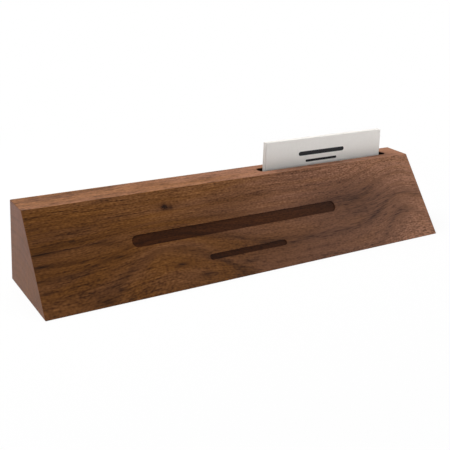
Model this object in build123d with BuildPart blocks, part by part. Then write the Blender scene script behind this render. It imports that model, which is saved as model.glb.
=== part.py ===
"""Desk name plate: a solid walnut wedge with a card slot in its top and a stack of business cards.

Millimetres and degrees. +X runs to the right along the block, +Y to the back, +Z up.
The origin is on the table, under the middle of the block's base.
"""

import math
import os

from build123d import *

# Block: a solid wedge with an upright back, a narrow flat top and a sloped front
block_length = 254.0
block_height = 43.2
base_depth = 50.8
top_depth = 17.5
top_ease = 0.5
base_ease = 0.3
end_ease = 0.4

# Business cards: a standard size, printed on stiff stock, all leaning back alike
card_width = 88.9
card_height = 50.8
card_thickness = 0.36
card_count = 8
card_air = 0.03
card_lean = 2.0

# How the cards are scattered sideways in the stack: the reach to each side, and the turn from card to card
stagger = 0.25
stagger_turn = 137.5

# Card slot: routed straight down into the top, with full round ends
slot_floor = 8.0
slot_end_margin = 12.0
slot_right_gap = 0.55
slot_left_gap = 2.15
slot_front_gap = 2.0
slot_rim_ease = 0.3
rim_clearance = 0.05
floor_clearance = 0.03

# Engraving on the sloped front: a long rule over a short one
engraving_depth = 0.4
rules_offset = -9.0
long_rule_length = 132.0
long_rule_width = 6.5
long_rule_drop = 25.0
short_rule_length = 50.0
short_rule_width = 3.2
rule_spacing = 15.5

# Block outline in Y
block_back = base_depth / 2
block_front = -base_depth / 2
top_front = block_back - top_depth
top_middle = block_back - top_depth / 2

# Slot sizes, from the cards that it holds and the way they lean
lean_sine = math.sin(math.radians(card_lean))
lean_cosine = math.cos(math.radians(card_lean))
lean_slope = lean_sine / lean_cosine
card_pitch = card_thickness + card_air
stack_thickness = card_count * card_pitch - card_air
slot_depth = block_height - slot_floor
slot_width = rim_clearance + slot_depth * lean_slope + stack_thickness / lean_cosine + slot_front_gap
slot_straight = slot_left_gap + card_width + 2 * stagger + slot_right_gap
slot_length = slot_straight + slot_width
slot_right_tip = block_length / 2 - slot_end_margin
slot_middle = slot_right_tip - slot_length / 2
slot_back = top_middle + slot_width / 2
stack_middle = slot_right_tip - slot_width / 2 - slot_right_gap - stagger - card_width / 2

# Sloped front: a plane through the top front edge, with x along the block and y up the slope
slope_run = top_front - block_front
slope_length = math.hypot(block_height, slope_run)
slope_normal = (0, -block_height / slope_length, slope_run / slope_length)
front_face = Plane(origin=(0, top_front, block_height), x_dir=(1, 0, 0), z_dir=slope_normal)

os.makedirs("parts", exist_ok=True)

# Wedge block
with BuildPart() as wedge_block:
    # The end outline runs along the base from the back to the front, up the slope and back along the top
    with BuildSketch(Plane.YZ.offset(-block_length / 2)):
        with BuildLine():
            Polyline(
                (block_back, 0),
                (block_front, 0),
                (top_front, block_height),
                (block_back, block_height),
                close=True,
            )
        make_face()
        fillet(vertices().group_by(Axis.Y)[0], base_ease)
        fillet(vertices().group_by(Axis.Y)[-1], top_ease)
    extrude(amount=block_length)
    fillet(wedge_block.faces().filter_by(Axis.X).edges(), end_ease)

    # Card slot, cut down from the top
    with BuildSketch(Plane.XY.offset(block_height)):
        with Locations((slot_middle, top_middle)):
            SlotOverall(slot_length, slot_width)
    extrude(amount=-slot_depth, mode=Mode.SUBTRACT)
    top_face = wedge_block.faces().sort_by(Axis.Z)[-1]
    chamfer(top_face.inner_wires()[0].edges(), slot_rim_ease)

    # Engraved rules, shallow and round-ended
    with BuildSketch(front_face):
        with Locations((rules_offset, -long_rule_drop)):
            SlotOverall(long_rule_length, long_rule_width)
        with Locations((rules_offset, -long_rule_drop - rule_spacing)):
            SlotOverall(short_rule_length, short_rule_width)
    extrude(amount=-engraving_depth, mode=Mode.SUBTRACT)

wedge_block.part.label = "wedge_block"
export_step(wedge_block.part, "parts/wedge_block.step")

# Business cards, from the front one to the back one.
# They are parallel, each stands on the slot's floor, and the back one leans on the slot's back rim.
for number in range(1, card_count + 1):
    cards_behind = card_count - number
    rim_y = slot_back - rim_clearance - cards_behind * card_pitch / lean_cosine
    foot_z = slot_floor + floor_clearance
    foot_y = rim_y - (block_height - foot_z) * lean_slope
    foot_x = stack_middle + stagger * math.sin(math.radians(stagger_turn * number))
    card_back = Plane(origin=(foot_x, foot_y, foot_z), x_dir=(1, 0, 0), z_dir=(0, -lean_cosine, lean_sine))
    with BuildPart() as card:
        with BuildSketch(card_back):
            Rectangle(card_width, card_height, align=(Align.CENTER, Align.MIN))
        extrude(amount=card_thickness)
    card.part.label = f"card_{number}"
    export_step(card.part, f"parts/card_{number}.step")

card_reveal = card_height * lean_cosine - slot_depth
print(f"slot {slot_length:.2f} by {slot_width:.2f}, {slot_depth:.2f} deep")
print(f"stack {stack_thickness:.2f} thick, standing {card_reveal:.2f} above the top")
print(f"sloped front {slope_length:.2f} from top to bottom")
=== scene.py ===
"""The looks of a walnut desk name plate that holds business cards: finishes, studio and camera.

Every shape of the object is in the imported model, so this script dresses the model's own nodes.
The wood is one solid figure through the whole block, so the front, the top, the back and the ends agree.
Places and lengths are in metres. Values that describe grain and print are in millimetres, and say so.
"""

from __future__ import annotations

import logging
import math
from dataclasses import dataclass
from enum import Enum
from typing import Sequence, Union

import bpy
from mathutils import Matrix, Vector


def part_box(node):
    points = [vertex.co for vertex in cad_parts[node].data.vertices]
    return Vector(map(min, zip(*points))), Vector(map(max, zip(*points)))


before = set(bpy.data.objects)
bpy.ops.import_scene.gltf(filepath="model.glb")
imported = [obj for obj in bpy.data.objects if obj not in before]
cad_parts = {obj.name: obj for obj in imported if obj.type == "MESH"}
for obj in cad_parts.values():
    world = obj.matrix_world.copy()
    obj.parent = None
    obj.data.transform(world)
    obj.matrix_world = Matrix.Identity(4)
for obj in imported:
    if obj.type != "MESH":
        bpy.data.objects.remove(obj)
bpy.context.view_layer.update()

log = logging.getLogger("name_plate")

MM_PER_METRE = 1000.0
IMAGE_PIXELS = 450

Rgb = tuple[float, float, float]
Triple = tuple[float, float, float]
Pair = tuple[float, float]
ToneStop = tuple[float, Rgb]


class Finish(Enum):
    """The record's material slots."""

    WALNUT = "walnut"
    CARD_STOCK = "card_stock"


class Arithmetic(Enum):
    """The sums that a field of values can do, under Blender's own names."""

    ADD = "ADD"
    SUBTRACT = "SUBTRACT"
    MULTIPLY = "MULTIPLY"
    DIVIDE = "DIVIDE"
    LARGER = "MAXIMUM"
    SIZE = "ABSOLUTE"
    WHOLE = "FLOOR"
    EXPONENT = "EXPONENT"


class Mixing(Enum):
    """The ways that one colour goes over another, under Blender's own names."""

    COVER = "MIX"
    STAIN = "MULTIPLY"


class Field:
    """A number that varies over a surface: one output of a shader node, with plain arithmetic."""

    def __init__(self, bench: NodeBench, socket: bpy.types.NodeSocket) -> None:
        """Keeps the bench that the node stands on and the output that gives the number."""
        self.bench = bench
        self.socket = socket

    def __add__(self, other: Number) -> Field:
        """This number plus another."""
        return self.bench.sum(Arithmetic.ADD, self, other)

    def __radd__(self, other: float) -> Field:
        """A plain number plus this one."""
        return self.bench.sum(Arithmetic.ADD, other, self)

    def __sub__(self, other: Number) -> Field:
        """This number less another."""
        return self.bench.sum(Arithmetic.SUBTRACT, self, other)

    def __rsub__(self, other: float) -> Field:
        """A plain number less this one."""
        return self.bench.sum(Arithmetic.SUBTRACT, other, self)

    def __mul__(self, other: Number) -> Field:
        """This number times another."""
        return self.bench.sum(Arithmetic.MULTIPLY, self, other)

    def __truediv__(self, other: Number) -> Field:
        """This number divided by another."""
        return self.bench.sum(Arithmetic.DIVIDE, self, other)

    def whole(self) -> Field:
        """The whole number at or under this one."""
        return self.bench.sum(Arithmetic.WHOLE, self)

    def size(self) -> Field:
        """This number without its sign."""
        return self.bench.sum(Arithmetic.SIZE, self)

    def at_least(self, floor: Number) -> Field:
        """The larger of this number and another."""
        return self.bench.sum(Arithmetic.LARGER, self, floor)

    def hill(self, middle: float, spread: float) -> Field:
        """A smooth hump, 1 at the middle and about a third where this number is a spread away from it."""
        away = (self - middle) / spread
        return self.bench.sum(Arithmetic.EXPONENT, away * away * -1.0)

    def ramp(self, start: float, end: float) -> Field:
        """A smooth step from 0, where this number is at start, to 1 at end; start may lie above end."""
        return self.bench.smooth_step(self, start, end)


class Spot:
    """A position that varies over a surface, in millimetres."""

    def __init__(self, bench: NodeBench, socket: bpy.types.NodeSocket) -> None:
        """Keeps the bench that the node stands on and the output that gives the position."""
        self.bench = bench
        self.socket = socket

    def axes(self) -> tuple[Field, Field, Field]:
        """Takes the position apart.

        Returns:
            Its x, y and z.
        """
        node = self.bench.node("ShaderNodeSeparateXYZ")
        self.bench.feed(node.inputs[0], self)
        return tuple(Field(self.bench, socket) for socket in node.outputs)

    def less(self, point: Sequence[float]) -> Spot:
        """The position as seen from a point."""
        return self.bench.vector_sum(Arithmetic.SUBTRACT, self, point)

    def stretched(self, sizes: Sequence[float]) -> Spot:
        """The position counted in steps of a size along each axis."""
        return self.bench.vector_sum(Arithmetic.DIVIDE, self, sizes)

    def along(self, direction: Sequence[float]) -> Field:
        """How far the position reaches along a direction.

        Args:
            direction: the direction, one unit long.

        Returns:
            The reach.
        """
        node = self.bench.node("ShaderNodeVectorMath", operation="DOT_PRODUCT")
        self.bench.feed(node.inputs[0], self)
        node.inputs[1].default_value = direction
        return Field(self.bench, node.outputs["Value"])

    def length(self) -> Field:
        """How far the position lies from zero.

        Returns:
            The distance.
        """
        node = self.bench.node("ShaderNodeVectorMath", operation="LENGTH")
        self.bench.feed(node.inputs[0], self)
        return Field(self.bench, node.outputs["Value"])


Number = Union[float, Field]
Colour = Union[Rgb, bpy.types.NodeSocket]


@dataclass(frozen=True)
class Layer:
    """A layer of soft random tone, or of the marks where that tone is high. Sizes are in millimetres.

    The amount is how much of the layer shows, and extra is how much more where the grain is open.
    A flat layer counts x and y alone. Marks come up as the tone rises from the first value to the second.
    """

    sizes: Triple
    amount: float
    extra: float = 0.0
    detail: float = 0.0
    roughness: float = 0.5
    flat: bool = False
    marks: Pair | None = None

    def shown(self, openness: Field) -> Field:
        """How much of the layer shows where the grain is open by a share."""
        return openness * self.extra + self.amount


@dataclass(frozen=True)
class Drift:
    """A slow change along an axis: none at the start, and the full amount at the end. In millimetres."""

    start: float
    end: float
    amount: float

    def over(self, place: Field) -> Field:
        """The change at a place on the axis."""
        return place.ramp(self.start, self.end) * self.amount


class NodeBench:
    """Lays out the nodes of one material, or of the world."""

    COLUMN_STEP = 190
    ROW_STEP = 170
    ROWS = 8
    NOISE_MEAN = 0.5

    def __init__(self, tree: bpy.types.NodeTree) -> None:
        """Clears a node tree to work on."""
        self.tree = tree
        self.tree.nodes.clear()

    @classmethod
    def for_material(cls, name: str) -> tuple[bpy.types.Material, NodeBench]:
        """Makes a material and the bench to lay out its nodes on.

        Args:
            name: the material's name.

        Returns:
            The material and its bench.
        """
        material = bpy.data.materials.new(name)
        material.use_nodes = True
        return material, cls(material.node_tree)

    def node(self, kind: str, **settings: object) -> bpy.types.Node:
        """Adds one node, in the next free place of the layout.

        Args:
            kind: Blender's name for the kind of node.
            settings: the node's own settings.

        Returns:
            The node.
        """
        place = len(self.tree.nodes)
        made = self.tree.nodes.new(kind)
        made.location = (place // self.ROWS * self.COLUMN_STEP, -(place % self.ROWS) * self.ROW_STEP)
        for setting, value in settings.items():
            setattr(made, setting, value)
        return made

    def feed(self, socket: bpy.types.NodeSocket, value: object) -> None:
        """Links what varies to a node's input, or sets the input where the value is plain.

        Args:
            socket: the input.
            value: a field, a spot, a node's output, a number or a colour.
        """
        if isinstance(value, (Field, Spot)):
            self.tree.links.new(value.socket, socket)
        elif isinstance(value, bpy.types.NodeSocket):
            self.tree.links.new(value, socket)
        elif isinstance(value, tuple) and socket.type == "RGBA":
            socket.default_value = (*value, 1.0)
        else:
            socket.default_value = value

    def sum(self, kind: Arithmetic, first: Number, second: Number = 0.0) -> Field:
        """Does one sum on a field.

        Args:
            kind: the sum.
            first: its first number.
            second: its second number, where the sum takes one.

        Returns:
            The result.
        """
        node = self.node("ShaderNodeMath", operation=kind.value)
        self.feed(node.inputs[0], first)
        self.feed(node.inputs[1], second)
        return Field(self, node.outputs[0])

    def vector_sum(self, kind: Arithmetic, first: Spot, second: Sequence[float]) -> Spot:
        """Does one sum on a spot, axis by axis.

        Args:
            kind: the sum.
            first: the spot.
            second: one plain number for each axis.

        Returns:
            The result.
        """
        node = self.node("ShaderNodeVectorMath", operation=kind.value)
        self.feed(node.inputs[0], first)
        node.inputs[1].default_value = second
        return Spot(self, node.outputs["Vector"])

    def smooth_step(self, value: Field, start: float, end: float) -> Field:
        """Turns a number into a smooth step from 0 at the start to 1 at the end.

        Args:
            value: the number.
            start: where the step is 0.
            end: where the step is 1.

        Returns:
            The step's height.
        """
        node = self.node("ShaderNodeMapRange", interpolation_type="SMOOTHSTEP")
        low, high = sorted((start, end))
        self.feed(node.inputs["Value"], value)
        node.inputs["From Min"].default_value = low
        node.inputs["From Max"].default_value = high
        node.inputs["To Min"].default_value = 0.0 if start < end else 1.0
        node.inputs["To Max"].default_value = 1.0 if start < end else 0.0
        return Field(self, node.outputs["Result"])

    def position(self) -> Spot:
        """The place on the object's surface.

        Returns:
            The place, in millimetres of the shared frame.
        """
        node = self.node("ShaderNodeTexCoord")
        scale = self.node("ShaderNodeVectorMath", operation="SCALE")
        self.tree.links.new(node.outputs["Object"], scale.inputs[0])
        scale.inputs["Scale"].default_value = MM_PER_METRE
        return Spot(self, scale.outputs["Vector"])

    def facing(self) -> tuple[Field, Field, Field]:
        """The x, y and z of the direction that the surface faces, in the shared frame."""
        node = self.node("ShaderNodeTexCoord")
        return Spot(self, node.outputs["Normal"]).axes()

    def spot(self, x: Number, y: Number, z: Number) -> Spot:
        """Puts a position together from three numbers.

        Args:
            x: the position's x.
            y: its y.
            z: its z.

        Returns:
            The position.
        """
        node = self.node("ShaderNodeCombineXYZ")
        for socket, value in zip(node.inputs, (x, y, z)):
            self.feed(socket, value)
        return Spot(self, node.outputs[0])

    def noise(self, at: Spot, layer: Layer) -> Field:
        """Lays one layer of random tone or marks, before its amount is counted.

        Args:
            at: the place.
            layer: the layer.

        Returns:
            The tone, about 0 on average and half a unit each way at most, or the marks, from 0 to 1.
        """
        node = self.node("ShaderNodeTexNoise", noise_dimensions="2D" if layer.flat else "3D")
        self.feed(node.inputs["Vector"], at.stretched(layer.sizes))
        node.inputs["Scale"].default_value = 1.0
        node.inputs["Detail"].default_value = layer.detail
        node.inputs["Roughness"].default_value = layer.roughness
        tone = Field(self, node.outputs[0]) - self.NOISE_MEAN
        return tone.ramp(*layer.marks) if layer.marks else tone

    def lot(self, number: Field) -> Field:
        """Draws a random share, once for each whole number.

        Args:
            number: the whole number.

        Returns:
            The share, from 0 to 1.
        """
        node = self.node("ShaderNodeTexWhiteNoise", noise_dimensions="1D")
        self.feed(node.inputs["W"], number)
        return Field(self, node.outputs["Value"])

    def tones(self, value: Field, stops: Sequence[ToneStop]) -> bpy.types.NodeSocket:
        """Turns a tone into a colour.

        Args:
            value: the tone, from 0 to 1.
            stops: tones and their colours, from the darkest up.

        Returns:
            The colour's socket.
        """
        node = self.node("ShaderNodeValToRGB")
        elements = node.color_ramp.elements
        while len(elements) < len(stops):
            elements.new(1.0)
        for element, (tone, colour) in zip(elements, stops):
            element.position = tone
            element.color = (*colour, 1.0)
        self.feed(node.inputs[0], value)
        return node.outputs["Color"]

    def blend(
        self, share: Number, first: Colour, second: Colour, mixing: Mixing = Mixing.COVER
    ) -> bpy.types.NodeSocket:
        """Blends a second colour over a first.

        Args:
            share: how much of the second shows.
            first: the colour underneath.
            second: the colour on top.
            mixing: the way they blend.

        Returns:
            The colour's socket.
        """
        node = self.node("ShaderNodeMix", data_type="RGBA", blend_type=mixing.value)
        sockets = {socket.identifier: socket for socket in node.inputs}
        self.feed(sockets["Factor_Float"], share)
        self.feed(sockets["A_Color"], first)
        self.feed(sockets["B_Color"], second)
        return next(socket for socket in node.outputs if socket.identifier == "Result_Color")

    def relief(self, height: Field, depth: float, strength: float) -> bpy.types.NodeSocket:
        """Makes fine relief for a shader.

        Args:
            height: the relief's height, in depths.
            depth: one depth, in metres.
            strength: how far the relief turns the surface, from 0 to 1.

        Returns:
            The normal's socket.
        """
        node = self.node("ShaderNodeBump")
        self.feed(node.inputs["Height"], height)
        node.inputs["Distance"].default_value = depth
        node.inputs["Strength"].default_value = strength
        return node.outputs["Normal"]

    def surface(self, **inputs: object) -> None:
        """Ends a material in one shader.

        Args:
            inputs: the shader's inputs, with a low line for each space in their names.
        """
        shader = self.node("ShaderNodeBsdfPrincipled")
        for name, value in inputs.items():
            self.feed(shader.inputs[name.replace("_", " ")], value)
        end = self.node("ShaderNodeOutputMaterial")
        self.tree.links.new(shader.outputs["BSDF"], end.inputs["Surface"])


@dataclass(frozen=True)
class FrontFace:
    """The block's sloped front, found on its mesh: places on it are x along it and a drop down the slope."""

    LEAST_SLANT = 0.3

    top: Vector
    facing: Vector
    down: Vector

    @classmethod
    def of(cls, node: bpy.types.Object) -> FrontFace:
        """Finds the sloped front of the block, its largest face that looks both forwards and up.

        Args:
            node: the block.

        Returns:
            The front, measured from the middle of its top edge.
        """
        slant = cls.LEAST_SLANT
        slopes = [face for face in node.data.polygons if -face.normal.y > slant and face.normal.z > slant]
        largest = max(slopes, key=lambda face: face.area)
        corners = [node.data.vertices[index].co for index in largest.vertices]
        facing = largest.normal.copy()
        down = Vector((0.0, -facing.z, facing.y))
        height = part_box(node.name)[1].z
        run = (corners[0].z - height) / down.z
        return cls(Vector((0.0, corners[0].y - run * down.y, height)), facing, down)

    def point_mm(self, x: float, drop: float) -> Triple:
        """The place at an x along the block and a drop from the front's top edge, in millimetres."""
        place = self.top * MM_PER_METRE + self.down * drop
        return (x, place.y, place.z)


@dataclass(frozen=True)
class CardSlot:
    """The slot in the block's top, found on its mesh. In millimetres."""

    LEVEL = 0.99
    HIGHEST_FLOOR = 0.9
    SAME_HEIGHT = 0.01

    low: Vector
    high: Vector

    @classmethod
    def of(cls, node: bpy.types.Object) -> CardSlot:
        """Finds the slot by its flat floor, which lies between the block's base and its top.

        Args:
            node: the block.

        Returns:
            The slot's box, from its floor up to the block's top.
        """
        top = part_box(node.name)[1].z
        level = [
            face
            for face in node.data.polygons
            if face.normal.z > cls.LEVEL and face.center.z < cls.HIGHEST_FLOOR * top
        ]
        height = max(level, key=lambda face: face.area).center.z
        floors = [face for face in level if abs(face.center.z - height) < cls.SAME_HEIGHT * top]
        places = [node.data.vertices[index].co * MM_PER_METRE for face in floors for index in face.vertices]
        low = Vector(min(place[axis] for place in places) for axis in range(3))
        high = Vector(max(place[axis] for place in places) for axis in range(2))
        return cls(low, Vector((*high, top * MM_PER_METRE)))


@dataclass(frozen=True)
class WoodPlace:
    """A place on the block, in millimetres, and the shares of the faces there.

    Each share is 1 on its own faces and 0 away from them: the two ends, the flat top and the front side.
    """

    END_FACING = (0.5, 0.9)
    TOP_FACING = (0.75, 0.95)
    FRONT_FACING = (0.5, -0.5)

    bench: NodeBench
    at: Spot
    x: Field
    y: Field
    z: Field
    ends: Field
    top: Field
    fore: Field

    @classmethod
    def on(cls, bench: NodeBench) -> WoodPlace:
        """Lays out the nodes that say where on the block a point is.

        Args:
            bench: the material's bench.

        Returns:
            The place.
        """
        at = bench.position()
        facing_x, facing_y, facing_z = bench.facing()
        return cls(
            bench,
            at,
            *at.axes(),
            ends=facing_x.size().ramp(*cls.END_FACING),
            top=facing_z.ramp(*cls.TOP_FACING),
            fore=facing_y.ramp(*cls.FRONT_FACING),
        )


@dataclass(frozen=True)
class Fleck:
    """A soft mark in the grain at a place on the front, dark, or pale where its strength is under 0.

    In millimetres. A drop under 0 lies above the front's top edge, so the mark touches the flat top.
    """

    x: float
    drop: float
    length: float
    width: float
    strength: float

    def share(self, at: Spot, front: FrontFace) -> Field:
        """How much of the mark lies at a place on the front, from 1 at its middle outwards to 0."""
        away = at.less(front.point_mm(self.x, self.drop))
        return away.stretched((self.length, self.width, self.width)).length().hill(0.0, 1.0)


@dataclass(frozen=True)
class YearLine:
    """A growth ring that shows as a dark line, through a place on the front. In millimetres."""

    x: float
    drop: float
    width: float
    strength: float


@dataclass(frozen=True)
class Swell:
    """A bulge in the growth rings, which draws an arch in the figure. In millimetres.

    It has its height where the rings are full_at from the heart, and dies away outwards to flat_at.
    """

    x: float
    spread: float
    height: float
    full_at: float
    flat_at: float


@dataclass(frozen=True)
class GrowthRings:
    """The tree's growth rings, about a heart that lies below the block at a y and a z. In millimetres."""

    heart: Pair = (13.3, -31.7)
    gap: float = 3.8
    late_wood: Pair = (0.30, 0.95)
    faintest: float = 0.2
    patches: Layer = Layer((38.0, 2.0, 7.0), 2.2, detail=2.0)
    patches_middle: float = 0.55
    wander: Layer = Layer((95.0, 30.0, 30.0), 5.0, detail=2.0)
    ripple: Layer = Layer((24.0, 6.0, 6.0), 0.9, detail=2.0)
    knot_pull: float = 1.6
    swells: tuple[Swell, ...] = (
        Swell(-56.0, 34.0, 6.5, 56.0, 68.0),
        Swell(110.0, 24.0, 6.2, 64.0, 95.0),
    )

    def distance(self, place: WoodPlace, knot: Field) -> Field:
        """How far out from the heart of the tree a place grew.

        Args:
            place: the place on the block.
            knot: the share of the knot there.

        Returns:
            The distance, with the bulges and the wander of the rings.
        """
        bench = place.bench
        out = bench.spot(0.0, place.y - self.heart[0], place.z - self.heart[1]).length()
        ring = out
        for swell in self.swells:
            height = out.ramp(swell.flat_at, swell.full_at) * swell.height
            ring = ring - place.x.hill(swell.x, swell.spread) * height
        for layer in (self.wander, self.ripple):
            ring = ring + bench.noise(place.at, layer) * layer.amount
        return ring - knot * self.knot_pull

    def steady_distance(self, point: Triple) -> float:
        """How far out a point grew, leaving out the wander of the rings.

        Args:
            point: the point, in the shared frame.

        Returns:
            The distance.
        """
        x, y, z = point
        out = math.hypot(y - self.heart[0], z - self.heart[1])
        ring = out
        # The smooth step and the hump are those that a field's ramp and hill make
        for swell in self.swells:
            share = min(max((swell.flat_at - out) / (swell.flat_at - swell.full_at), 0.0), 1.0)
            height = share * share * (3.0 - 2.0 * share) * swell.height
            ring -= math.exp(-(((x - swell.x) / swell.spread) ** 2)) * height
        return ring

    def shade(self, grain: Spot, ring: Field) -> Field:
        """How dark the rings are: each darkens towards its outside, some more than others.

        Args:
            grain: the place along the grain.
            ring: the distance out from the heart.

        Returns:
            The shade.
        """
        count = ring / self.gap
        year = count.whole()
        season = count - year
        late = season.ramp(*self.late_wood) - season.ramp(self.late_wood[1], 1.0)
        depth = grain.bench.lot(year) * (1.0 - self.faintest) + self.faintest
        patchy = grain.bench.noise(grain, self.patches) * self.patches.amount + self.patches_middle
        return late * depth * patchy.at_least(0.0)


@dataclass(frozen=True)
class FrontMarks:
    """The single marks on the front: knot, dark flecks, broad zones with a painted card shadow, and dark
    year lines.
    """

    knot: Fleck = Fleck(-52.2, 9.4, 1.9, 1.8, 0.78)
    knot_split: Layer = Layer((0.9, 2.5, 2.5), 1.6, detail=1.0)
    flecks: tuple[Fleck, ...] = (
        Fleck(-48.6, 10.0, 1.3, 1.5, 0.42),
        Fleck(-51.0, 10.2, 6.0, 2.0, 0.14),
        Fleck(-51.0, 41.3, 5.0, 1.3, 0.42),
        Fleck(-37.5, 48.7, 4.5, 1.0, 0.36),
        Fleck(-86.0, 47.5, 2.8, 1.0, 0.32),
        Fleck(-94.5, 52.0, 4.6, 1.1, 0.26),
        Fleck(-89.5, 23.2, 7.0, 1.3, 0.30),
        Fleck(-83.0, 31.5, 5.0, 1.1, 0.28),
        Fleck(-105.0, 30.0, 12.0, 1.0, 0.20),
        Fleck(-122.0, 23.0, 7.0, 1.0, 0.22),
        Fleck(-123.0, 29.3, 7.0, 1.0, 0.22),
        Fleck(-123.5, 42.0, 4.0, 0.9, 0.22),
        Fleck(-10.0, 47.0, 4.5, 0.9, 0.20),
        Fleck(104.0, 37.0, 8.0, 4.5, 0.15),
    )
    zones: tuple[Fleck, ...] = (
        Fleck(-95.0, 27.0, 42.0, 9.0, 0.06),
        Fleck(-64.0, 47.0, 24.0, 6.0, -0.07),
        Fleck(-52.0, 15.0, 12.0, 2.5, -0.06),
        Fleck(108.0, 4.0, 4.0, 9.0, 0.08),
        Fleck(84.0, 26.0, 34.0, 14.0, 0.31),
        Fleck(-120.0, 20.0, 12.0, 20.0, 0.10),
        Fleck(112.0, 2.0, 30.0, 5.0, -0.08),
        Fleck(120.0, 28.0, 16.0, 7.0, 0.08),
        Fleck(116.0, 49.0, 18.0, 6.0, -0.07),
        Fleck(20.0, 50.0, 90.0, 20.0, 0.20),
        Fleck(-25.0, 48.0, 14.0, 6.0, -0.14),
        Fleck(0.0, 2.0, 170.0, 6.0, -0.10),
        # Painted shadow of the cards, darkening the top just behind the front edge, in front of the slot
        Fleck(68.0, -3.0, 38.0, 3.0, 0.30),
    )
    lines: tuple[YearLine, ...] = (
        YearLine(-57.0, 33.5, 0.55, 0.16),
        YearLine(111.0, 11.0, 0.60, 0.16),
        YearLine(111.0, 24.0, 0.60, 0.16),
    )

    def shade(self, at: Spot, front: FrontFace, rings: GrowthRings, ring: Field, knot: Field) -> Field:
        """How dark the marks are at a place.

        Args:
            at: the place.
            front: the block's front.
            rings: the growth rings that the lines follow.
            ring: the distance out from the heart.
            knot: the share of the knot there.

        Returns:
            The shade.
        """
        split = at.bench.noise(at, self.knot_split) * self.knot_split.amount + 1.0
        dark = knot * split * self.knot.strength
        for mark in (*self.flecks, *self.zones):
            dark = dark + mark.share(at, front) * mark.strength
        for line in self.lines:
            middle = rings.steady_distance(front.point_mm(line.x, line.drop))
            dark = dark + ring.hill(middle, line.width) * line.strength
        return dark


@dataclass(frozen=True)
class BroadFigure:
    """The broad tone: bands, streaks heavier to the left, paler to the right as paler wood and painted
    light.
    """

    middle: float = 0.81
    bands: Layer = Layer((40.0, 8.0, 16.0), 0.34)
    streaks: Layer = Layer((60.0, 0.75, 2.4), 0.48, detail=2.0, roughness=0.6)
    heavy: Pair = (0.08, 0.24)
    heavy_amount: float = 0.06
    heavy_left: Drift = Drift(-40.0, -115.0, 0.22)
    # Paler to the right: partly paler wood, partly painted light and sheen from the right lamp
    paler_right_and_painted_light: Drift = Drift(60.0, 127.0, 0.26)
    paler_and_painted_light_per_mm: float = 0.0005

    def tone(self, x: Field, grain: Spot) -> Field:
        """The broad tone at a place.

        Args:
            x: the place's x.
            grain: the place along the grain.

        Returns:
            The tone.
        """
        bands = grain.bench.noise(grain, self.bands)
        streaks = grain.bench.noise(grain, self.streaks)
        heavy = streaks.ramp(*self.heavy) * (self.heavy_left.over(x) + self.heavy_amount)
        # Paler to the right, partly as painted light
        pale = self.paler_right_and_painted_light.over(x) + x * self.paler_and_painted_light_per_mm
        return self.middle + pale + bands * self.bands.amount + streaks * self.streaks.amount - heavy


@dataclass(frozen=True)
class FineFigure:
    """The fine grain at a place: its fibres, dashes and pores, and the tone that they give together."""

    fibre: Field
    dashes: Field
    pores: Field
    tone: Field


@dataclass(frozen=True)
class FineGrain:
    """The fine grain, which runs at a slant through the rings and is open to the right of the front.

    The short dashes are stronger where the grain curls. Sizes are in millimetres.
    """

    slant: float = 1.37
    open_right: Pair = (20.0, 110.0)
    curl: Fleck = Fleck(-60.0, 45.0, 18.0, 7.0, 0.35)
    short_dashes: Layer = Layer((1.6, 0.85, 1.0), 1.0, extra=0.5, flat=True)
    long_dashes: Layer = Layer((4.0, 0.80, 1.0), 0.4, extra=0.6, flat=True)
    dash_amount: float = 0.54
    fibre: Layer = Layer((13.0, 0.95, 1.0), 0.38, flat=True)
    pores: Layer = Layer((4.5, 0.65, 1.0), 0.13, extra=0.08, flat=True, marks=(0.06, 0.18))
    threads: Layer = Layer((30.0, 1.30, 1.0), 0.07, flat=True, marks=(0.04, 0.26))
    threads_left: Drift = Drift(-30.0, -100.0, 0.11)

    def lay(self, place: WoodPlace, front: FrontFace, ring: Field) -> FineFigure:
        """Lays the fine grain over the block.

        Args:
            place: the place on the block.
            front: the block's front.
            ring: the distance out from the heart.

        Returns:
            The fine grain.
        """
        bench = place.bench
        at = bench.spot(place.x, ring + place.y * self.slant, 0.0)
        openness = place.x.ramp(*self.open_right) * place.fore
        curl = self.curl.share(place.at, front) * self.curl.strength
        dashes = bench.noise(at, self.short_dashes) * (self.short_dashes.shown(openness) + curl)
        dashes = dashes + bench.noise(at, self.long_dashes) * self.long_dashes.shown(openness)
        fibre = bench.noise(at, self.fibre)
        pores = bench.noise(at, self.pores)
        threads = bench.noise(at, self.threads) * (self.threads_left.over(place.x) + self.threads.amount)
        tone = fibre * self.fibre.amount + dashes * self.dash_amount
        tone = tone - pores * self.pores.shown(openness) - threads
        return FineFigure(fibre, dashes, pores, tone)


@dataclass(frozen=True)
class TopGrainAndPaintedLight:
    """What the flat top adds: paler, mostly as painted light, less at its left end, and long streaks and
    pores.
    """

    # The top's paleness is mostly painted light from above, and is less at the top's left end
    pale: float = 0.20
    painted_light_inwards: Drift = Drift(-122.0, -95.0, 0.14)
    streaks: Layer = Layer((34.0, 3.2, 8.0), 0.75, detail=2.0, roughness=0.65)
    pores: Layer = Layer((5.5, 0.90, 8.0), 0.32, marks=(0.02, 0.20))

    def tone(self, place: WoodPlace) -> Field:
        """What the top adds to the tone.

        Args:
            place: the place on the block.

        Returns:
            The tone to add.
        """
        streaks = place.bench.noise(place.at, self.streaks) * self.streaks.amount
        pores = place.bench.noise(place.at, self.pores) * self.pores.amount
        # The paleness is mostly painted light; the streaks and pores are grain
        return self.painted_light_inwards.over(place.x) + self.pale + streaks - pores


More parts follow.
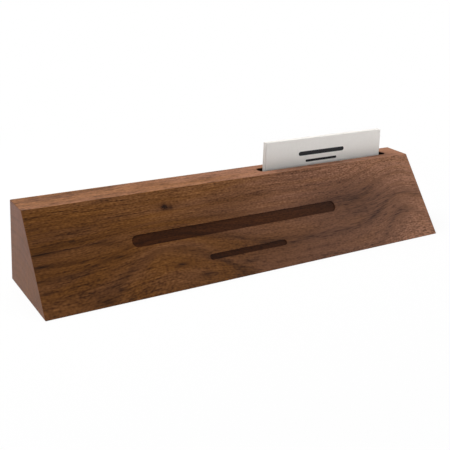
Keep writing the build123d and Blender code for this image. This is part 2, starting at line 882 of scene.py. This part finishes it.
@dataclass(frozen=True)
class EndGrain:
    """The tone of the two ends, which are cut across the grain: clouds, rays, ring arcs and fine specks."""

    middle: float = 0.66
    clouds: Layer = Layer((50.0, 9.0, 9.0), 0.25, detail=2.0)
    rays: Layer = Layer((50.0, 1.1, 15.0), 0.30, detail=1.0)
    specks: Layer = Layer((40.0, 0.55, 0.55), 0.10, marks=(0.05, 0.20))
    arcs: float = 0.20

    def tone(self, place: WoodPlace, rings: Field) -> Field:
        """The tone of an end.

        Args:
            place: the place on the block.
            rings: the shade of the growth rings there.

        Returns:
            The tone.
        """
        layers = (self.clouds, self.rays, self.specks)
        clouds, rays, specks = (place.bench.noise(place.at, layer) * layer.amount for layer in layers)
        return self.middle + clouds + rays - rings * self.arcs - specks


@dataclass(frozen=True)
class WoodColour:
    """Tone colours: golden to the left, greyer on the top, and greyer to the right and up the ends as
    painted sheen.
    """

    golden: tuple[ToneStop, ...] = (
        (0.0, (0.012, 0.005, 0.0025)),
        (0.22, (0.046, 0.0163, 0.0040)),
        (0.44, (0.108, 0.0389, 0.0080)),
        (0.64, (0.160, 0.0606, 0.0132)),
        (0.80, (0.220, 0.0876, 0.0212)),
        (1.0, (0.295, 0.1212, 0.0324)),
    )
    grey: tuple[ToneStop, ...] = (
        (0.0, (0.013, 0.0055, 0.0035)),
        (0.22, (0.054, 0.0218, 0.0120)),
        (0.44, (0.122, 0.0515, 0.0268)),
        (0.64, (0.178, 0.0780, 0.0414)),
        (0.80, (0.243, 0.1092, 0.0610)),
        (1.0, (0.322, 0.1508, 0.0866)),
    )
    # The ends' tint is partly their own colour and partly painted sheen, paler and greyer
    end_tint_and_painted_sheen: Rgb = (1.32, 1.20, 1.22)
    greyness: float = 0.12
    grey_clouds: Layer = Layer((60.0, 3.0, 9.0), 1.2, detail=2.0)
    grey_top: float = 0.42
    # Greyer to the right of the front and up the ends: painted sheen of the lacquer
    painted_sheen_right: Drift = Drift(-70.0, 70.0, 0.82)
    painted_sheen_up: Drift = Drift(5.0, 45.0, 0.85)

    def colour(self, place: WoodPlace, grain: Spot, tone: Field) -> bpy.types.NodeSocket:
        """Turns the wood's tone into its colour.

        Args:
            place: the place on the block.
            grain: the place along the grain.
            tone: the tone.

        Returns:
            The colour's socket.
        """
        bench = place.bench
        greyness = bench.noise(grain, self.grey_clouds) * self.grey_clouds.amount + self.greyness
        greyness = greyness + place.top * self.grey_top
        # Painted sheen: greyer to the right of the front and up the ends
        greyness = greyness + self.painted_sheen_right.over(place.x) * (1.0 - place.ends)
        greyness = greyness + self.painted_sheen_up.over(place.z) * place.ends
        wood = bench.blend(greyness, bench.tones(tone, self.golden), bench.tones(tone, self.grey))
        # The ends' tint, partly painted sheen
        return bench.blend(place.ends, wood, self.end_tint_and_painted_sheen, Mixing.STAIN)


@dataclass(frozen=True)
class BurntEngraving:
    """The scorched wood of the engraving. In millimetres.

    Start and end are the x and the drop of the part of the front that holds it, with a soft edge.
    Depths count outwards from the front: the scorch begins just under it, and ends below the deepest cut.
    """

    darkening: Rgb = (0.31, 0.22, 0.12)
    start: Pair = (-85.0, 17.0)
    end: Pair = (67.0, 47.0)
    edge: float = 1.0
    scorch: Pair = (-0.03, -0.15)
    deepest: Pair = (-1.2, -1.0)

    def share(self, place: WoodPlace, front: FrontFace) -> Field:
        """How far the front is burnt at a place.

        Args:
            place: the place on the block.
            front: the block's front.

        Returns:
            The share, from 0 to 1.
        """
        (left, upper), (right, lower), edge = self.start, self.end, self.edge
        away = place.at.less(front.point_mm(0.0, 0.0))
        depth = away.along(front.facing)
        drop = away.along(front.down)
        cut = depth.ramp(*self.scorch) * depth.ramp(*self.deepest)
        along = place.x.ramp(left - edge, left) * place.x.ramp(right + edge, right)
        return cut * along * drop.ramp(upper - edge, upper) * drop.ramp(lower + edge, lower)


@dataclass(frozen=True)
class PaintedSlotShade:
    """The walls and floor of the card slot, darkened as painted shade. In millimetres.

    The painted shade fades between two margins around the slot, and between two depths under its rim.
    """

    # Near-black painted shade for the slot's recess
    darkening: Rgb = (0.05, 0.04, 0.04)
    margins: Pair = (1.0, 0.5)
    rim: Pair = (0.25, 0.6)

    def share(self, place: WoodPlace, slot: CardSlot) -> Field:
        """How far a place is inside the slot.

        Args:
            place: the place on the block.
            slot: the slot.

        Returns:
            The share, from 0 outside it to 1.
        """
        low, high, (outer, inner) = slot.low, slot.high, self.margins
        along = place.x.ramp(low.x - outer, low.x - inner) * place.x.ramp(high.x + outer, high.x + inner)
        across = place.y.ramp(low.y - outer, low.y - inner) * place.y.ramp(high.y + outer, high.y + inner)
        return along * across * place.z.ramp(high.z - self.rim[0], high.z - self.rim[1])


@dataclass(frozen=True)
class Lacquer:
    """A satin clear lacquer: how rough it lies where, and the relief under it, whose depth is in metres."""

    roughness: float = 0.50
    on_pores: float = 0.04
    on_burn: float = 0.15
    on_slot: float = 0.40
    on_ends: float = -0.08
    specular: float = 0.11
    relief_depth: float = 0.00010
    relief_strength: float = 0.08
    fibre_rise: float = 0.4
    pore_sink: float = 0.7
    knot_sink: float = 0.5


@dataclass(frozen=True)
class WalnutFinish:
    """Walnut under a satin lacquer, as one solid figure. Tones run from 0, the darkest wood, to 1."""

    front: FrontFace
    slot: CardSlot
    rings: GrowthRings = GrowthRings()
    ring_amount: float = 0.16
    marks: FrontMarks = FrontMarks()
    marks_on_fibre: float = 2.2
    marks_on_dashes: float = 1.5
    figure: BroadFigure = BroadFigure()
    fine: FineGrain = FineGrain()
    top: TopGrainAndPaintedLight = TopGrainAndPaintedLight()
    ends: EndGrain = EndGrain()
    tone_step: float = 0.8
    wood: WoodColour = WoodColour()
    engraving: BurntEngraving = BurntEngraving()
    slot_shade: PaintedSlotShade = PaintedSlotShade()
    lacquer: Lacquer = Lacquer()

    def make(self) -> bpy.types.Material:
        """Makes the material.

        Returns:
            The finished material.
        """
        material, bench = NodeBench.for_material("satin_walnut")
        place = WoodPlace.on(bench)
        knot = self.marks.knot.share(place.at, self.front)
        ring = self.rings.distance(place, knot)
        grain = bench.spot(place.x, ring, place.y)
        fine = self.fine.lay(place, self.front, ring)
        tone = self._tone(place, grain, ring, knot, fine)

        burn = self.engraving.share(place, self.front)
        # Painted shade inside the card slot
        slot_shaded = self.slot_shade.share(place, self.slot)
        colour = self.wood.colour(place, grain, tone)
        colour = bench.blend(burn, colour, self.engraving.darkening, Mixing.STAIN)
        colour = bench.blend(slot_shaded, colour, self.slot_shade.darkening, Mixing.STAIN)

        coat = self.lacquer
        roughness = coat.roughness + fine.pores * coat.on_pores + burn * coat.on_burn
        roughness = roughness + slot_shaded * coat.on_slot + place.ends * coat.on_ends
        height = fine.fibre * coat.fibre_rise - fine.pores * coat.pore_sink - knot * coat.knot_sink
        bench.surface(
            Base_Color=colour,
            Roughness=roughness,
            Specular_IOR_Level=coat.specular,
            Normal=bench.relief(height, coat.relief_depth, coat.relief_strength),
        )
        return material

    def _tone(self, place: WoodPlace, grain: Spot, ring: Field, knot: Field, fine: FineFigure) -> Field:
        """Puts the tone of the wood together.

        Args:
            place: the place on the block.
            grain: the place along the grain.
            ring: the distance out from the heart.
            knot: the share of the knot there.
            fine: the fine grain there.

        Returns:
            The tone.
        """
        rings = self.rings.shade(grain, ring)
        marks = self.marks.shade(place.at, self.front, self.rings, ring, knot)
        broken = fine.fibre * self.marks_on_fibre + fine.dashes * self.marks_on_dashes + 1.0
        tone = self.figure.tone(place.x, grain) + fine.tone - rings * self.ring_amount
        tone = tone + self.top.tone(place) * place.top - marks * broken
        across = self.ends.tone(place, rings)
        return (tone + (across - tone) * place.ends) * self.tone_step


@dataclass(frozen=True)
class PrintedRule:
    """A plain round-ended rule of ink on a card, in millimetres."""

    length: float
    width: float
    drop: float
    aside: float = -3.0


@dataclass(frozen=True)
class CardStockFinish:
    """Stiff white card, with two plain rules printed on the front. Lengths are in millimetres.

    Only the depth of the fine relief is in metres.
    """

    middle: float
    top: float
    rules: tuple[PrintedRule, ...] = (PrintedRule(35.0, 2.6, 9.2), PrintedRule(24.0, 1.5, 14.0))
    stock: Rgb = (0.84, 0.81, 0.775)
    shade: Rgb = (0.80, 0.77, 0.732)
    ink: Rgb = (0.018, 0.018, 0.020)
    ink_edge: float = 0.05
    front_facing: Pair = (-0.4, -0.6)
    clouds: Layer = Layer((1.6, 1.6, 1.6), 1.4, detail=3.0)
    clouds_middle: float = 0.35
    fibres: Layer = Layer((0.22, 0.22, 0.10), 0.2, detail=2.0)
    roughness: float = 0.62
    ink_gloss: float = 0.15
    specular: float = 0.15
    relief_depth: float = 0.00002
    relief_strength: float = 0.15

    def make(self) -> bpy.types.Material:
        """Makes the material.

        Returns:
            The finished material.
        """
        material, bench = NodeBench.for_material("printed_card_stock")
        at = bench.position()
        x, _, z = at.axes()
        clouds = bench.noise(at, self.clouds) * self.clouds.amount + self.clouds_middle
        fibres = bench.noise(at, self.fibres)
        printed = self._print(bench, x, z)
        stock = bench.blend(clouds, self.stock, self.shade)
        bench.surface(
            Base_Color=bench.blend(printed, stock, self.ink),
            Roughness=self.roughness + fibres * self.fibres.amount - printed * self.ink_gloss,
            Specular_IOR_Level=self.specular,
            Normal=bench.relief(fibres, self.relief_depth, self.relief_strength),
        )
        return material

    def _print(self, bench: NodeBench, x: Field, z: Field) -> Field:
        """Where ink lies: on the front of a card, inside a rule.

        Args:
            bench: the material's bench.
            x: the place's x.
            z: the place's height.

        Returns:
            1 on the ink and 0 off it.
        """
        _, front, _ = bench.facing()
        inked: Number = 0.0
        for rule in self.rules:
            beyond = ((x - self.middle - rule.aside).size() - (rule.length - rule.width) / 2).at_least(0.0)
            off = bench.spot(beyond, z - (self.top - rule.drop), 0.0).length() - rule.width / 2
            inked = off.ramp(self.ink_edge, -self.ink_edge) + inked
        return inked * front.ramp(*self.front_facing)


@dataclass(frozen=True)
class WedgeBlock:
    """The solid walnut wedge, with its card slot and its engraved front."""

    node: bpy.types.Object

    def dress(self) -> None:
        """Gives the block its walnut finish."""
        finish = WalnutFinish(FrontFace.of(self.node), CardSlot.of(self.node))
        self.node.material_slots[0].material = finish.make()
        log.info("dressed %s with %s", self.node.name, self.node.material_slots[0].material.name)


@dataclass(frozen=True)
class CardStack:
    """The business cards that stand in the slot, the front one first."""

    nodes: tuple[bpy.types.Object, ...]

    def dress(self) -> None:
        """Gives every card the same printed stock."""
        low, high = (corner * MM_PER_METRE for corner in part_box(self.nodes[0].name))
        stock = CardStockFinish(middle=(low.x + high.x) / 2, top=high.z).make()
        for node in self.nodes:
            node.material_slots[0].material = stock
            log.info("dressed %s with %s", node.name, stock.name)


@dataclass(frozen=True)
class SoftBox:
    """A soft studio lamp, aimed at the object."""

    name: str
    place: Triple
    aim: Triple
    width: float
    height: float
    watts: float

    def build(self) -> None:
        """Hangs the lamp."""
        light = bpy.data.lights.new(self.name, "AREA")
        light.shape = "RECTANGLE"
        light.size = self.width
        light.size_y = self.height
        light.energy = self.watts
        lamp = bpy.data.objects.new(self.name, light)
        bpy.context.scene.collection.objects.link(lamp)
        lamp.location = self.place
        ray = Vector(self.aim) - Vector(self.place)
        lamp.rotation_euler = ray.to_track_quat("-Z", "Y").to_euler()
        lamp.visible_camera = False
        log.info("hung %s", self.name)


@dataclass(frozen=True)
class Studio:
    """A plain floor that the camera sees as white, a white horizon and a dim ceiling, with three soft lamps.

    The paper's glow rises to full between two distances from the middle. The horizon's light falls to the
    ceiling's between two heights of a ray, which is 0 when level and 1 when upright.
    """

    floor_radius: float = 4.0
    floor_sides: int = 96
    floor_drop: float = 0.0001
    paper: Rgb = (0.80, 0.80, 0.80)
    paper_glow: float = 0.92
    paper_end: Pair = (0.14, 0.32)
    horizon: Pair = (0.10, 0.22)
    horizon_light: float = 0.88
    ceiling_light: float = 0.12
    lamps: tuple[SoftBox, ...] = (
        SoftBox("key_box", (-0.22, 0.31, 0.70), (0.0, 0.0, 0.03), 0.60, 0.44, 8.0),
        SoftBox("right_box", (0.43, -0.22, 0.22), (0.10, -0.01, 0.03), 0.50, 0.30, 1.00),
        SoftBox("front_box", (-0.10, -0.75, 0.30), (0.0, 0.0, 0.03), 0.60, 0.40, 0.5),
    )

    def build(self) -> None:
        """Lays the floor, lights the room and hangs the lamps."""
        self._lay_floor()
        self._light_room()
        for lamp in self.lamps:
            lamp.build()

    def _lay_floor(self) -> None:
        """Lays a round sheet of paper that looks white beyond the object's shadow but lights it plainly."""
        bpy.ops.object.select_all(action="DESELECT")
        bpy.ops.mesh.primitive_circle_add(
            vertices=self.floor_sides,
            radius=self.floor_radius,
            fill_type="NGON",
            location=(0.0, 0.0, -self.floor_drop),
        )
        floor = bpy.context.object
        floor.name = "studio_floor"
        bpy.ops.object.transform_apply(location=True)
        material, bench = NodeBench.for_material("white_paper")
        x, y, _ = bench.position().axes()
        start, end = (edge * MM_PER_METRE for edge in self.paper_end)
        away = bench.spot(x, y, 0.0).length().ramp(start, end) * (1.0 - self.paper_glow) + self.paper_glow
        path = bench.node("ShaderNodeLightPath")
        camera, glossy, through = (
            Field(bench, path.outputs[name])
            for name in ("Is Camera Ray", "Is Glossy Ray", "Is Transmission Ray")
        )
        paper = bench.node("ShaderNodeBsdfDiffuse")
        bench.feed(paper.inputs["Color"], self.paper)
        glow = bench.node("ShaderNodeEmission")
        mix = bench.node("ShaderNodeMixShader")
        bench.feed(mix.inputs[0], away * camera.at_least(glossy).at_least(through))
        bench.feed(mix.inputs[1], paper.outputs[0])
        bench.feed(mix.inputs[2], glow.outputs[0])
        end_node = bench.node("ShaderNodeOutputMaterial")
        bench.feed(end_node.inputs["Surface"], mix.outputs[0])
        floor.data.materials.append(material)
        log.info("laid %s", floor.name)

    def _light_room(self) -> None:
        """Lights the world: white along the horizon, and dim overhead."""
        world = bpy.data.worlds.new("studio_room")
        world.use_nodes = True
        bpy.context.scene.world = world
        bench = NodeBench(world.node_tree)
        ray = bench.node("ShaderNodeTexCoord")
        _, _, rise = Spot(bench, ray.outputs["Generated"]).axes()
        light = rise.ramp(self.horizon[1], self.horizon[0]) * self.horizon_light + self.ceiling_light
        glow = bench.node("ShaderNodeBackground")
        bench.feed(glow.inputs["Color"], (1.0, 1.0, 1.0))
        bench.feed(glow.inputs["Strength"], light)
        end = bench.node("ShaderNodeOutputWorld")
        bench.feed(end.inputs["Surface"], glow.outputs[0])
        log.info("lit %s", world.name)


@dataclass(frozen=True)
class PhotoCamera:
    """The camera at the photograph's angle. Angles are in degrees."""

    azimuth: float = -32.08
    elevation: float = 16.11
    roll: float = 2.74
    reach: float = 0.4420
    slide: float = -0.0168
    lift: float = 0.0576
    focal_pixels: float = 774.8
    shift: Pair = (0.02, -0.16)
    nearest: float = 0.01

    def build(self) -> None:
        """Sets up the camera and makes it the scene's own."""
        turn, rise, roll = (math.radians(angle) for angle in (self.azimuth, self.elevation, self.roll))
        back = Vector((math.sin(turn) * math.cos(rise), -math.cos(turn) * math.cos(rise), math.sin(rise)))
        level = Vector((math.cos(turn), math.sin(turn), 0.0))
        upright = back.cross(level)
        right = level * math.cos(roll) + upright * math.sin(roll)
        up = upright * math.cos(roll) - level * math.sin(roll)
        lens = bpy.data.cameras.new("photo_camera")
        lens.lens = self.focal_pixels / IMAGE_PIXELS * lens.sensor_width
        lens.shift_x, lens.shift_y = self.shift
        lens.clip_start = self.nearest
        camera = bpy.data.objects.new("photo_camera", lens)
        bpy.context.scene.collection.objects.link(camera)
        place = back * self.reach + right * self.slide + up * self.lift
        camera.matrix_world = Matrix.Translation(place) @ Matrix((right, up, back)).transposed().to_4x4()
        bpy.context.scene.camera = camera
        log.info("set up %s", camera.name)


def main() -> None:
    """Dresses the object, then sets up the studio and the camera."""
    logging.basicConfig(level=logging.INFO, format="%(name)s: %(message)s")
    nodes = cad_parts
    cards = sorted(name for name in nodes if name.startswith("card_"))
    WedgeBlock(nodes["wedge_block"]).dress()
    CardStack(tuple(nodes[name] for name in cards)).dress()
    Studio().build()
    PhotoCamera().build()
    bpy.context.scene.view_settings.view_transform = "Standard"


if __name__ == "__main__":
    main()
